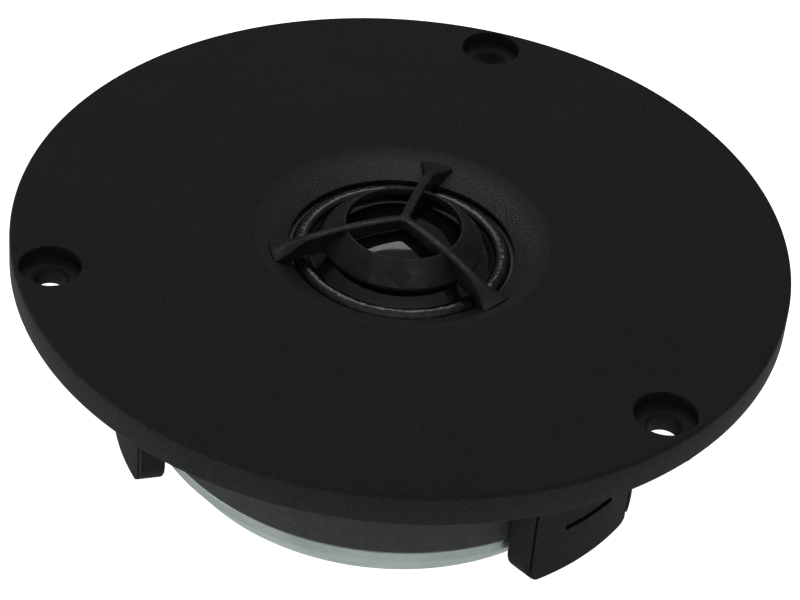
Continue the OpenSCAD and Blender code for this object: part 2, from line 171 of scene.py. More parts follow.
def from_bmesh(name, bm):
    """An object whose mesh comes from bm, with its normals turned outward."""
    bmesh.ops.recalc_face_normals(bm, faces=bm.faces)
    mesh = bpy.data.meshes.new(name)
    bm.to_mesh(mesh)
    bm.free()
    return add_object(name, mesh)


def smooth(piece, angle):
    """Shades a piece smooth, except where its faces meet at more than angle degrees."""
    piece.data.shade_smooth()
    piece.data.set_sharp_from_angle(angle=math.radians(angle))
    return piece


def arc(centre, radius, start, end, steps):
    """Points on an arc, angles in degrees."""
    points = []
    for i in range(steps + 1):
        a = math.radians(start + (end - start) * i / steps)
        points.append((centre[0] + radius * math.cos(a), centre[1] + radius * math.sin(a)))
    return points


def revolve(name, outline, segments=SEGMENTS, centre=(0, 0)):
    """Turns a closed outline of (radius, height) points round an upright axis through centre."""
    on_axis = 1e-6
    bm = bmesh.new()
    rings = []
    for r, z in outline:
        count = segments if r > on_axis else 1
        ring = []
        for k in range(count):
            a = 2 * math.pi * k / segments
            ring.append(bm.verts.new((
                (centre[0] + r * math.cos(a)) * MM, (centre[1] + r * math.sin(a)) * MM, z * MM,
            )))
        rings.append(ring)
    for low, high in zip(rings, rings[1:] + rings[:1]):
        if len(low) == 1 and len(high) == 1:
            continue
        for k in range(segments):
            n = (k + 1) % segments
            corners = [low[k % len(low)], low[n % len(low)], high[n % len(high)], high[k % len(high)]]
            bm.faces.new(list(dict.fromkeys(corners)))
    return from_bmesh(name, bm)


def prism(name, outline, low, high, turn):
    """Extrudes a closed outline of (x, y) points from low to high along Z, then applies turn."""
    bm = bmesh.new()
    bottom = [bm.verts.new((x * MM, y * MM, low * MM)) for x, y in outline]
    top = [bm.verts.new((x * MM, y * MM, high * MM)) for x, y in outline]
    bm.faces.new(bottom)
    bm.faces.new(top)
    for k in range(len(outline)):
        n = (k + 1) % len(outline)
        bm.faces.new((bottom[k], bottom[n], top[n], top[k]))
    bmesh.ops.transform(bm, matrix=turn, verts=bm.verts)
    return from_bmesh(name, bm)


def about_z(angle):
    """A turn round the part's axis."""
    return Matrix.Rotation(angle, 4, "Z")


def outward(angle):
    """Turns a drawing's X across, Y up and Z outward, at this angle round the axis."""
    return about_z(angle) @ Matrix(((0, 0, 1, 0), (1, 0, 0, 0), (0, 1, 0, 0), (0, 0, 0, 1)))


def weld(piece):
    """Joins vertices that lie together, drops loose flakes and closes the pinholes they leave."""
    together = 0.002 * MM
    shortest_edge = 0.001 * MM
    flake_area = 0.02 * MM ** 2
    bm = bmesh.new()
    bm.from_mesh(piece.data)
    bmesh.ops.remove_doubles(bm, verts=bm.verts, dist=together)
    bmesh.ops.dissolve_degenerate(bm, edges=bm.edges, dist=shortest_edge)
    while True:
        flakes = [
            face for face in bm.faces
            if face.calc_area() < flake_area and sum(edge.is_boundary for edge in face.edges) > 1
        ]
        if not flakes:
            break
        bmesh.ops.delete(bm, geom=flakes, context="FACES")
    bmesh.ops.holes_fill(bm, edges=[edge for edge in bm.edges if edge.is_boundary], sides=0)
    bm.to_mesh(piece.data)
    bm.free()


def boolean(target, tools, operation, own_crossings=False):
    """Joins the tools to the target, cuts them from it or keeps what they share, then removes them."""
    for tool in tools:
        modifier = target.modifiers.new("boolean", "BOOLEAN")
        modifier.operation = operation
        modifier.solver = "EXACT"
        modifier.use_self = own_crossings
        modifier.object = tool
    depsgraph = bpy.context.evaluated_depsgraph_get()
    mesh = bpy.data.meshes.new_from_object(target.evaluated_get(depsgraph))
    target.modifiers.clear()
    target.data = mesh
    for tool in tools:
        bpy.data.objects.remove(tool)
    return target


def join(name, pieces):
    """One object with the pieces' meshes, unchanged. If they cross, its boolean needs own_crossings."""
    bm = bmesh.new()
    for piece in pieces:
        bm.from_mesh(piece.data)
        bpy.data.objects.remove(piece)
    mesh = bpy.data.meshes.new(name)
    bm.to_mesh(mesh)
    bm.free()
    return add_object(name, mesh)


def finish_piece(piece, slot, body, *replaced):
    """Gives a piece its slot and that slot's look, and lets it ride on its body in a CAD node's place."""
    piece.data.materials.clear()
    piece.data.materials.append(LOOKS[slot])
    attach(piece, body)
    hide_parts(*replaced)


# ---- Material helpers -------------------------------------------------------------


class Look:
    """A node material whose patterns are laid out in mm in the part's own frame."""

    def __init__(self, name, **shader):
        """Starts a Principled material. A keyword sets the socket of that name, with _ for a space."""
        self.material = bpy.data.materials.new(name)
        self.material.use_nodes = True
        self.tree = self.material.node_tree
        self.shader = self.tree.nodes["Principled BSDF"]
        for socket, value in shader.items():
            self.shader.inputs[socket.replace("_", " ")].default_value = value
        self.bump = None

    def node(self, kind, **values):
        """A new node of this kind with these settings."""
        node = self.tree.nodes.new(kind)
        for key, value in values.items():
            setattr(node, key, value)
        return node

    def place(self, stretch=(1, 1, 1)):
        """Object coordinates in mm."""
        coordinates = self.node("ShaderNodeTexCoord")
        mapping = self.node("ShaderNodeMapping")
        mapping.inputs["Scale"].default_value = [s / MM for s in stretch]
        self.tree.links.new(coordinates.outputs["Object"], mapping.inputs["Vector"])
        return mapping.outputs["Vector"]

    def noise(self, size, detail, rough=0.5, stretch=(1, 1, 1)):
        """Noise whose lumps are about size mm across."""
        noise = self.node("ShaderNodeTexNoise")
        noise.inputs["Scale"].default_value = 1 / size
        noise.inputs["Detail"].default_value = detail
        noise.inputs["Roughness"].default_value = rough
        self.tree.links.new(self.place(stretch), noise.inputs["Vector"])
        return noise.outputs["Fac"]

    def cells(self, size):
        """Cells about size mm across."""
        cells = self.node("ShaderNodeTexVoronoi")
        cells.inputs["Scale"].default_value = 1 / size
        self.tree.links.new(self.place(), cells.inputs["Vector"])
        return cells.outputs["Distance"]

    def axes(self):
        """Object coordinates in mm as separate X, Y and Z."""
        split = self.node("ShaderNodeSeparateXYZ")
        self.tree.links.new(self.place(), split.inputs["Vector"])
        return split.outputs

    def radius(self):
        """Distance from the part's axis in mm."""
        axes = self.axes()
        x_squared = self.math("MULTIPLY", axes["X"], axes["X"])
        y_squared = self.math("MULTIPLY", axes["Y"], axes["Y"])
        return self.math("SQRT", self.math("ADD", x_squared, y_squared))

    def angle(self):
        """Angle round the part's axis in radians."""
        axes = self.axes()
        return self.math("ARCTAN2", axes["Y"], axes["X"])

    def math(self, operation, a, b=None):
        """One sum on patterns or plain numbers."""
        node = self.node("ShaderNodeMath", operation=operation)
        for index, value in enumerate((a, b)):
            if value is None:
                continue
            if isinstance(value, (int, float)):
                node.inputs[index].default_value = value
            else:
                self.tree.links.new(value, node.inputs[index])
        return node.outputs["Value"]

    def spread(self, value, low, high, new_low=0, new_high=1):
        """Maps low..high to new_low..new_high and holds it outside."""
        node = self.node("ShaderNodeMapRange")
        sockets = ("From Min", "From Max", "To Min", "To Max")
        for socket, number in zip(sockets, (low, high, new_low, new_high)):
            node.inputs[socket].default_value = number
        self.tree.links.new(value, node.inputs["Value"])
        return node.outputs["Result"]

    def mix(self, factor, a, b):
        """Colour a where factor is 0, b where it is 1."""
        node = self.node("ShaderNodeMix", data_type="RGBA")
        self.tree.links.new(factor, node.inputs[0])
        for socket, colour in ((node.inputs[6], a), (node.inputs[7], b)):
            if isinstance(colour, tuple):
                socket.default_value = (*colour, 1)
            else:
                self.tree.links.new(colour, socket)
        return node.outputs[2]

    def colour(self, value):
        """Takes the surface's colour from a pattern."""
        self.tree.links.new(value, self.shader.inputs["Base Color"])

    def roughness(self, value):
        """Takes the surface's roughness from a pattern."""
        self.tree.links.new(value, self.shader.inputs["Roughness"])

    def specular(self, value):
        """Takes the strength of the surface's reflections from a pattern."""
        self.tree.links.new(value, self.shader.inputs["Specular IOR Level"])

    def relief(self, height, depth):
        """Adds relief of depth mm; a later call lies on top of an earlier one."""
        bump = self.node("ShaderNodeBump")
        bump.inputs["Distance"].default_value = depth * MM
        self.tree.links.new(height, bump.inputs["Height"])
        if self.bump is not None:
            self.tree.links.new(self.bump, bump.inputs["Normal"])
        self.bump = bump.outputs["Normal"]
        self.tree.links.new(self.bump, self.shader.inputs["Normal"])

    def soft_edges(self, radius):
        """Rounds the shading of sharp edges, as a moulded or tumbled edge looks."""
        bevel = self.node("ShaderNodeBevel")
        bevel.samples = 6
        bevel.inputs["Radius"].default_value = radius * MM
        self.bump = bevel.outputs["Normal"]
        self.tree.links.new(self.bump, self.shader.inputs["Normal"])


# ---- Materials ------------------------------------------------------------------


def moulded_plastic():
    """Grained matt black plastic, greyer where it is rubbed, with the grain's tips painted greyer as a
    painted highlight where they catch light.
    """
    look = Look("moulded_plastic", IOR=1.5)
    look.soft_edges(0.12)
    grain = look.noise(0.33, detail=3, rough=0.6)
    pits = look.cells(0.22)
    # the horn's wall is shinier and has deeper pits than the flat
    in_horn = look.spread(look.radius(), MOUTH_R - 2.5, MOUTH_R + 0.2, 1, 0)
    # the grain's raised tips, which are painted greyer below: a painted highlight where the tips catch
    # light
    tips = look.spread(grain, 0.42, 0.72)
    clouds = look.noise(14, detail=3)
    base = look.mix(look.spread(clouds, 0.35, 0.65), (0.0052, 0.0068, 0.0067), (0.0072, 0.009, 0.0088))
    base = look.mix(look.math("MULTIPLY", tips, 0.55), base, (0.016, 0.0185, 0.0185))
    dust = look.spread(look.noise(0.9, detail=5, rough=0.75), 0.7, 0.78)
    base = look.mix(look.math("MULTIPLY", dust, 0.35), base, (0.07, 0.07, 0.068))
    look.colour(base)
    matt = look.spread(grain, 0.3, 0.7, 0.86, 0.72)
    look.roughness(look.math("SUBTRACT", matt, look.math("MULTIPLY", in_horn, 0.4)))
    look.specular(look.spread(in_horn, 0, 1, 0.28, 0.55))
    look.relief(grain, 0.022)
    pit_depth = look.math("ADD", look.math("MULTIPLY", in_horn, 1.3), 0.35)
    look.relief(look.math("MULTIPLY", pits, pit_depth), 0.03)
    return look.material


def gloss_plastic():
    """Half-shiny black moulding with worn specks, smears and an uneven skin."""
    look = Look("gloss_plastic", IOR=1.52, Specular_IOR_Level=0.18)
    look.soft_edges(0.1)
    clouds = look.noise(3, detail=4)
    base = look.mix(look.spread(clouds, 0.35, 0.65), (0.01, 0.0106, 0.0106), (0.018, 0.0186, 0.0183))
    worn = look.spread(look.noise(0.45, detail=5, rough=0.8), 0.6, 0.72)
    look.colour(look.mix(look.math("MULTIPLY", worn, 0.5), base, (0.05, 0.05, 0.048)))
    smears = look.noise(2.4, detail=5, rough=0.7)
    look.roughness(look.spread(smears, 0.38, 0.62, 0.22, 0.55))
    look.relief(look.noise(0.7, detail=3), 0.045)
    look.relief(look.noise(0.22, detail=3), 0.012)
    return look.material


def dome_film():
    """Smooth black film of the dome, with a faint blue tint and a slight waviness."""
    look = Look("dome_film", IOR=1.5, Specular_IOR_Level=0.42)
    clouds = look.noise(2.5, detail=3)
    look.colour(look.mix(look.spread(clouds, 0.35, 0.65), (0.004, 0.0042, 0.005), (0.0065, 0.0066, 0.0075)))
    # the film's edge, where it is glued, is duller
    edge = look.spread(look.radius(), 10.6, 12, 0, 1)
    polish = look.spread(clouds, 0.3, 0.7, 0.05, 0.1)
    look.roughness(look.math("ADD", polish, look.math("MULTIPLY", edge, 0.2)))
    look.relief(look.noise(5, detail=1), 0.03)
    look.relief(look.noise(0.4, detail=2), 0.002)
    return look.material


def surround_film():
    """Brown-black coated cloth: a fine weave under a glossy, lumpy coat of sealant."""
    look = Look("surround_film", IOR=1.5)
    threads_round = 520
    thread_pitch = 0.32
    radius = look.radius()
    across = look.math("SINE", look.math("MULTIPLY", look.angle(), threads_round))
    along = look.math("SINE", look.math("MULTIPLY", radius, 2 * math.pi / thread_pitch))
    weave = look.math("MULTIPLY", across, along)
    lumps = look.noise(0.8, detail=4, rough=0.6)
    look.colour(look.mix(look.spread(lumps, 0.35, 0.7), (0.0012, 0.0011, 0.001), (0.006, 0.0042, 0.0032)))
    # the coat is thinner on the roll's outer slope, so that side is duller
    outer = look.spread(radius, ROLL_R + 0.2, ROLL_R + 0.9, 0, 0.3)
    look.roughness(look.math("ADD", look.spread(lumps, 0.3, 0.7, 0.13, 0.26), outer))
    look.relief(weave, 0.003)
    look.relief(lumps, 0.035)
    return look.material


def ferrite():
    """Sintered dark grey ceramic, mottled and finely pitted, with pale dust."""
    look = Look("ferrite", IOR=2.0, Specular_IOR_Level=0.16)
    look.soft_edges(0.25)
    mottle = look.noise(1.6, detail=6, rough=0.65)
    fine = look.noise(0.25, detail=3)
    base = look.mix(look.spread(mottle, 0.3, 0.7), (0.011, 0.0125, 0.0132), (0.027, 0.0292, 0.0305))
    dust = look.spread(look.noise(0.5, detail=4, rough=0.8), 0.62, 0.75)
    base = look.mix(look.math("MULTIPLY", dust, 0.4), base, (0.16, 0.16, 0.155))
    look.colour(base)
    look.roughness(look.spread(fine, 0.3, 0.7, 0.5, 0.75))
    look.relief(fine, 0.02)
    look.relief(look.noise(2.2, detail=4), 0.05)
    return look.material


def zinc():
    """Greenish-blue zinc plating: cloudy, finely turned, with a few dull marks."""
    look = Look("zinc", Metallic=1.0)
    look.soft_edges(0.2)
    clouds = look.noise(6, detail=5, rough=0.6)
    spots = look.noise(0.8, detail=4, rough=0.7)
    base = look.mix(look.spread(clouds, 0.35, 0.65), (0.38, 0.455, 0.425), (0.48, 0.535, 0.52))
    base = look.mix(look.spread(spots, 0.6, 0.75, 0, 0.4), base, (0.4, 0.44, 0.46))
    look.colour(base)
    look.roughness(look.spread(spots, 0.35, 0.7, 0.34, 0.52))
    turning_pitch = 0.35
    turned = look.math("SINE", look.math("MULTIPLY", look.radius(), 2 * math.pi / turning_pitch))
    look.relief(turned, 0.004)
    look.relief(look.noise(0.5, detail=3), 0.01)
    return look.material


def plain_metal(name, dark, light, roughness, size=1.2):
    """A metal with cloudy colour, uneven polish and a finely uneven skin."""
    look = Look(name, Metallic=1.0)
    look.soft_edges(0.08)
    clouds = look.noise(size, detail=5, rough=0.6)
    look.colour(look.mix(look.spread(clouds, 0.35, 0.65), dark, light))
    polish = look.noise(size / 3, detail=4)
    look.roughness(look.spread(polish, 0.3, 0.7, roughness - 0.08, roughness + 0.12))
    look.relief(look.noise(size / 6, detail=3), 0.006)
    return look.material


def copper_winding():
    """Enamelled copper wire wound side by side, seen as fine turns, with painted shade in the creases
    between turns and a painted highlight on each wire's crown.
    """
    look = Look("copper_winding", Metallic=1.0, Coat_Weight=0.6, Coat_Roughness=0.15)
    wire_pitch = 0.17
    wave = look.math("SINE", look.math("MULTIPLY", look.axes()["Z"], math.pi / wire_pitch))
    turns = look.math("ABSOLUTE", wave)
    # dark in the crease between two turns and light on each wire's crown: painted shade and painted
    # highlight
    look.colour(look.mix(turns, (0.16, 0.045, 0.02), (0.62, 0.24, 0.1)))
    look.roughness(look.spread(look.noise(0.6, detail=3), 0.3, 0.7, 0.25, 0.4))
    look.relief(turns, 0.05)
    return look.material


def foam():
    """Open-celled black foam, with painted shade in its pores."""
    look = Look("foam", Roughness=0.95)
    cells = look.cells(0.35)
    # darker at the middle of each cell, where the relief sinks: painted shade in the pores
    look.colour(look.mix(look.spread(cells, 0.1, 0.6), (0.01, 0.01, 0.01), (0.05, 0.05, 0.048)))
    look.relief(cells, 0.15)
    return look.material


def felt():
    """Pale grey felt with matted fibres."""
    look = Look("felt", Roughness=0.95, Sheen_Weight=0.4)
    fibres = look.noise(0.4, detail=6, rough=0.75, stretch=(1, 0.35, 1))
    look.colour(look.mix(look.spread(fibres, 0.35, 0.65), (0.3, 0.29, 0.26), (0.6, 0.59, 0.54)))
    look.relief(fibres, 0.2)
    return look.material


def adhesive():
    """Squeezed-out amber glue."""
    look = Look("adhesive", IOR=1.5)
    clouds = look.noise(2, detail=3)
    look.colour(look.mix(look.spread(clouds, 0.35, 0.65), (0.2, 0.14, 0.05), (0.36, 0.28, 0.14)))
    look.roughness(look.spread(clouds, 0.3, 0.7, 0.15, 0.35))
    look.relief(clouds, 0.1)
    return look.material


def inner_plastic():
    """Smoother black plastic of the carrier and the terminal block."""
    look = Look("inner_plastic", IOR=1.5)
    look.soft_edges(0.1)
    clouds = look.noise(4, detail=4)
    look.colour(look.mix(look.spread(clouds, 0.35, 0.65), (0.011, 0.011, 0.012), (0.018, 0.018, 0.019)))
    look.roughness(look.spread(look.noise(0.8, detail=4), 0.3, 0.7, 0.35, 0.5))
    look.relief(look.noise(0.3, detail=3), 0.01)
    return look.material


LOOKS = {
    "faceplate_plastic": moulded_plastic(),
    "plug_plastic": gloss_plastic(),
    "foam": foam(),
    "carrier_plastic": inner_plastic(),
    "surround_film": surround_film(),
    "dome_film": dome_film(),
    "former_metal": plain_metal("former_foil", (0.6, 0.61, 0.62), (0.78, 0.79, 0.8), 0.3),
    "copper_wire": plain_metal("copper_wire", (0.55, 0.2, 0.08), (0.75, 0.34, 0.16), 0.3, 0.5),
    "solder": plain_metal("solder", (0.5, 0.51, 0.53), (0.75, 0.76, 0.78), 0.28, 0.4),
    "tinned_metal": plain_metal("tinned_metal", (0.58, 0.57, 0.54), (0.78, 0.77, 0.74), 0.3, 1.5),
    "screw_steel": plain_metal("screw_steel", (0.4, 0.41, 0.43), (0.6, 0.61, 0.64), 0.34, 0.6),
    "plated_steel": zinc(),
    "adhesive": adhesive(),
    "ferrite": ferrite(),
    "copper_sheet": plain_metal("copper_sheet", (0.6, 0.25, 0.12), (0.8, 0.42, 0.24), 0.3),
    "felt": felt(),
}


def dress_nodes():
    """Gives each CAD node the look of its slot, and the voice coil its own winding."""
    for part in frame["record"]["subparts"]:
        data = nodes[part["node"]].data
        data.materials.clear()
        data.materials.append(LOOKS[part["material_slot"]])
    nodes["voice_coil"].data.materials[0] = copper_winding()


# ---- Face plate -----------------------------------------------------------------


def taper_r(z):
    """Radius of the back plate's tapered edge at height z."""
    return BACK_PLATE_R - (BACK_PLATE_R - BACK_FACE_R) * (TAPER_TOP_Z - z) / TAPER_TOP_Z


def horn_z(r):
    """Height of the horn's wall at radius r."""
    return THROAT_Z + (r - THROAT_R) * math.tan(HORN_SLOPE)


def plate_section():
    """The face plate's section, with finer arcs than the CAD's mesh."""
    flat_rings = (30, 42, 48)
    rear_edge = 0.3
    rear_bulge = 0.09
    slope = math.degrees(HORN_SLOPE)
    reach = MOUTH_ROUND * math.tan(HORN_SLOPE / 2)
    soft_centre = (MOUTH_R + reach, FRONT_Z - MOUTH_ROUND)
    lip_r = THROAT_R + LIP_ROUND
    lip_centre = (lip_r, horn_z(lip_r) - LIP_ROUND / math.cos(HORN_SLOPE))
    outline = [(THROAT_R, SEAT_Z)]
    outline += arc(lip_centre, LIP_ROUND, 180, 90 + slope, 5)
    outline += arc(soft_centre, MOUTH_ROUND, 90 + slope, 90, 24)
    outline += [(r, FRONT_Z) for r in flat_rings]
    outline += arc((FLANGE_R - RIM_ROUND, FRONT_Z - RIM_ROUND), RIM_ROUND, 90, 0, 10)
    outline += [
        (FLANGE_R, REAR_Z + rear_edge), (FLANGE_R - rear_bulge, REAR_Z + rear_bulge),
        (FLANGE_R - rear_edge, REAR_Z),
        (FLANGE_R - SKIRT_T, REAR_Z), (FLANGE_R - SKIRT_T, SKIN_Z),
        (LEG_R, SKIN_Z),
    ]
    outline += arc((LEG_R - LEG_ROUND_OUT, LEG_Z + LEG_ROUND_OUT), LEG_ROUND_OUT, 0, -90, 8)
    outline += arc((WALL_IN_R + LEG_ROUND_IN, LEG_Z + LEG_ROUND_IN), LEG_ROUND_IN, -90, -180, 10)
    outline += [(WALL_IN_R, SKIN_Z), (THROAT_RING_R, SKIN_Z), (THROAT_RING_R, SEAT_Z)]
    return outline


def hooks():
    """The hook in the middle of each leg, which grips the back plate's taper."""
    ring = revolve("hooks", [
        (WALL_IN_R + ROOT, HOOK_Z), (taper_r(HOOK_Z) + HOOK_GAP, HOOK_Z),
        (taper_r(TAPER_TOP_Z) + HOOK_GAP, TAPER_TOP_Z), (WALL_IN_R + ROOT, TAPER_TOP_Z + HOOK_RISE),
    ])
    half = HOOK_W / 2
    outline = [(0, -half), (LEG_R, -half), (LEG_R, half), (0, half)]
    parts = []
    for a in SPOKES:
        part = add_object("hook", ring.data.copy())
        parts.append(boolean(part, [prism("middle", outline, 0, FRONT_Z, about_z(a))], "INTERSECT"))
    bpy.data.objects.remove(ring)
    return join("hooks", parts)


def leg_outline():
    """A leg's outline seen from outside, with its two round lower corners."""
    half = LEG_W / 2
    outline = [(half, WALL_Z + PAST), (-half, WALL_Z + PAST)]
    outline += arc((-half + LEG_CORNER, LEG_Z + LEG_CORNER), LEG_CORNER, 180, 270, 10)
    outline += arc((half - LEG_CORNER, LEG_Z + LEG_CORNER), LEG_CORNER, 270, 360, 10)
    return outline


def curved_block(name, inner_r, outer_r, half_w, low, high, turn, middle=0, steps=12):
    """A block between two cylinders. A negative inner_r gives it a flat inner side at that distance."""
    outer = []
    inner = []
    for i in range(steps + 1):
        y = middle - half_w + 2 * half_w * i / steps
        outer.append((math.sqrt(outer_r ** 2 - y ** 2), y))
        inner.append((math.sqrt(inner_r ** 2 - y ** 2) if inner_r > 0 else -inner_r, y))
    return prism(name, outer + inner[::-1], low, high, turn)


def between_legs():
    """What is cut from the wall below WALL_Z to leave the three legs standing."""
    inside_r = 20
    ring = revolve("between_legs", [
        (THROAT_RING_R, LEG_Z - PAST), (LEG_R + PAST, LEG_Z - PAST),
        (LEG_R + PAST, WALL_Z), (THROAT_RING_R, WALL_Z),
    ], segments=90)
    legs = [prism("leg", leg_outline(), inside_r, LEG_R + 2 * PAST, outward(a)) for a in SPOKES]
    return boolean(ring, legs, "DIFFERENCE")


def finger_slots():
    """The slots that free each finger, as a U seen from outside."""
    half = FINGER_W / 2
    outline = [
        (-half - FINGER_GAP, WINDOW_TOP_Z), (-half - FINGER_GAP, WINDOW_Z), (half + FINGER_GAP, WINDOW_Z),
        (half + FINGER_GAP, WINDOW_TOP_Z), (half, WINDOW_TOP_Z), (half, WINDOW_Z + FINGER_GAP),
        (-half, WINDOW_Z + FINGER_GAP), (-half, WINDOW_TOP_Z),
    ]
    return [prism("slot", outline, WALL_IN_R - PAST, LEG_R + PAST, outward(a)) for a in SPOKES]


def finger_faces():
    """Thins each finger from outside and from inside."""
    half = FINGER_W / 2 + FINGER_GAP
    face_r = LEG_R - FINGER_RECESS
    behind_wall = 33.5
    cuts = []
    for a in SPOKES:
        for inner_r, outer_r in ((face_r, LEG_R + PAST), (-behind_wall, face_r - FINGER_T)):
            cuts.append(curved_block("face", inner_r, outer_r, half, WINDOW_Z, WINDOW_TOP_Z, about_z(a)))
    return cuts


def end_grooves():
    """The upright groove in a leg's outer face, just in from each end."""
    groove_top_z = WALL_Z - PAST
    return [
        curved_block("groove", LEG_R - GROOVE_DEPTH, LEG_R + PAST, GROOVE_W / 2, LEG_Z - PAST, groove_top_z,
                     about_z(a), side * (LEG_W / 2 - GROOVE_INSET), steps=2)
        for a in SPOKES for side in (-1, 1)
    ]


def at_screws(name, outline, segments):
    """The same revolved outline at each screw hole."""
    return [
        revolve(name, outline, segments, (SCREW_R * math.cos(a), SCREW_R * math.sin(a)))
        for a in SPOKES
    ]


def screw_holes():
    """Stepped screw holes with a small rounded edge at the front."""
    hole_r = 2.1
    head_r = 4.1
    head_depth = 2
    head_z = FRONT_Z - head_depth
    lead_in = 0.4
    edge = 0.12
    outline = [
        (0, REAR_Z - PAST), (hole_r, REAR_Z - PAST), (hole_r, head_z - lead_in), (hole_r + lead_in, head_z),
        (head_r, head_z),
    ]
    outline += arc((head_r + edge, FRONT_Z - edge), edge, 180, 90, 4)
    outline += [(head_r + edge, FRONT_Z + PAST), (0, FRONT_Z + PAST)]
    return at_screws("screw_hole", outline, 96)


def rear_ribs():
    """Stiffening ribs behind the flange, from the wall to the rim."""
    count = 12
    half = 0.6
    short_of_rear = 0.2
    from_r = LEG_R - ROOT
    to_r = FLANGE_R - SKIRT_T + ROOT
    outline = [(from_r, -half), (to_r, -half), (to_r, half), (from_r, half)]
    turns = [about_z(math.radians((i + 0.5) * 360 / count)) for i in range(count)]
    return [prism("rib", outline, REAR_Z + short_of_rear, SKIN_Z + ROOT, turn) for turn in turns]


def screw_bosses():
    """The solid round each screw hole, behind the flange."""
    boss_r = 4.7
    outline = [(0, REAR_Z), (boss_r, REAR_Z), (boss_r, SKIN_Z + ROOT), (0, SKIN_Z + ROOT)]
    return at_screws("boss", outline, 72)


def wire_notch():
    """The gap in the wall that lets the leads out to the terminals."""
    half = 6
    top_z = ROLL_Z + 0.8
    from_r = WALL_IN_R - PAST
    to_r = LEG_R + PAST
    outline = [(from_r, -half), (to_r, -half), (to_r, half), (from_r, half)]
    return prism("notch", outline, WALL_Z - PAST, top_z, about_z(TERMINAL))


def face_plate():
    """The moulded flange with its horn, legs, hooks, fingers, ribs and holes."""
    plate = revolve("face_plate", plate_section())
    boolean(plate, [join("added", rear_ribs() + screw_bosses())], "UNION")
    boolean(plate, [between_legs()], "DIFFERENCE")
    boolean(plate, [hooks()], "UNION")
    boolean(plate, [join("slots", finger_slots())], "DIFFERENCE")
    boolean(plate, [join("faces", finger_faces())], "DIFFERENCE")
    boolean(plate, [join("holes", end_grooves() + screw_holes() + [wire_notch()])], "DIFFERENCE")
    weld(plate)
    smooth(plate, 24)
    finish_piece(plate, "faceplate_plastic", "housing", "faceplate")


# ---- Motor ----------------------------------------------------------------------


def round_magnet():
    """The ferrite ring, whose outer edges are rounded in two steps."""
    edge = 0.5
    bulge = 0.15
    outline = [
        (MAGNET_HOLE_R, MAGNET_Z), (MAGNET_R - edge, MAGNET_Z), (MAGNET_R - bulge, MAGNET_Z + bulge),
        (MAGNET_R, MAGNET_Z + edge), (MAGNET_R, (MAGNET_Z + MAGNET_TOP_Z) / 2),
        (MAGNET_R, MAGNET_TOP_Z - edge), (MAGNET_R - bulge, MAGNET_TOP_Z - bulge),
        (MAGNET_R - edge, MAGNET_TOP_Z), (MAGNET_HOLE_R, MAGNET_TOP_Z),
    ]
    ring = smooth(revolve("ferrite_ring", outline), 35)
    finish_piece(ring, "ferrite", "housing", "magnet")


def round_back_plate():
    """The plated back plate: a softened rear edge, the taper, and a rounded front edge."""
    spigot_r = 5.02
    rear_edge, rear_rise = 0.4, 0.3
    bulge_inset, bulge_rise = 0.12, 0.1
    taper_inset, taper_drop = 0.06, 0.15
    front_edge = 0.3
    outline = [
        (spigot_r, 0), (BACK_FACE_R - rear_edge, 0), (BACK_FACE_R - bulge_inset, bulge_rise),
        (BACK_FACE_R, rear_rise), (BACK_PLATE_R - taper_inset, TAPER_TOP_Z - taper_drop),
        (BACK_PLATE_R, TAPER_TOP_Z),
    ]
    outline += arc((BACK_PLATE_R - front_edge, BACK_PLATE_T - front_edge), front_edge, 0, 90, 6)
    outline += [(spigot_r, BACK_PLATE_T)]
    plate = smooth(revolve("rear_plate", outline), 24)
    finish_piece(plate, "plated_steel", "housing", "back_plate")


# ---- Phase plug -----------------------------------------------------------------


def arm_z(r):
    """Height of an arm's upper edge at radius r."""
    foot_z = horn_z(FOOT_END_R) + FOOT_EDGE
    return HUB_TOP_Z - (HUB_TOP_Z - foot_z) * (r / FOOT_END_R) ** 2


def foot_share(r):
    """How far radius r lies along an arm's foot, from 0 to 1."""
    return unit((r - FOOT_START) / (FOOT_END_R - FOOT_START))


def foot_half(r):
    """Half the width of an arm at radius r: its foot flares like a trumpet and its tips are round."""
    flare_power = 1.5
    tip_length = 0.5
    tip_inset = 0.35
    tip = max(0, (r - FOOT_END_R + tip_length) / tip_length)
    return ARM_W / 2 + (FOOT_W - ARM_W) / 2 * foot_share(r) ** flare_power - tip_inset * tip ** 2


def dome_z(r):
    """Height of the dome's outer surface at radius r."""
    return DOME_CENTRE_Z + math.sqrt(DOME_R ** 2 - r * r)


def web_z(r):
    """Height of an arm's underside at radius r: it follows the dome, then the ring down to the horn."""
    follow_r = 9
    if r < follow_r:
        return dome_z(r) + WEB_GAP
    touch_r = THROAT_R + 2 * LIP_ROUND
    corners = [
        (follow_r, dome_z(follow_r) + WEB_GAP), (RING_OUT_R, RING_OUT_Z),
        (THROAT_R - 2 * LIP_ROUND, THROAT_Z + WEB_LIFT), (touch_r, horn_z(touch_r)),
        (FOOT_END_R, horn_z(FOOT_END_R)),
    ]
    return float(np.interp(r, [c[0] for c in corners], [c[1] for c in corners]))


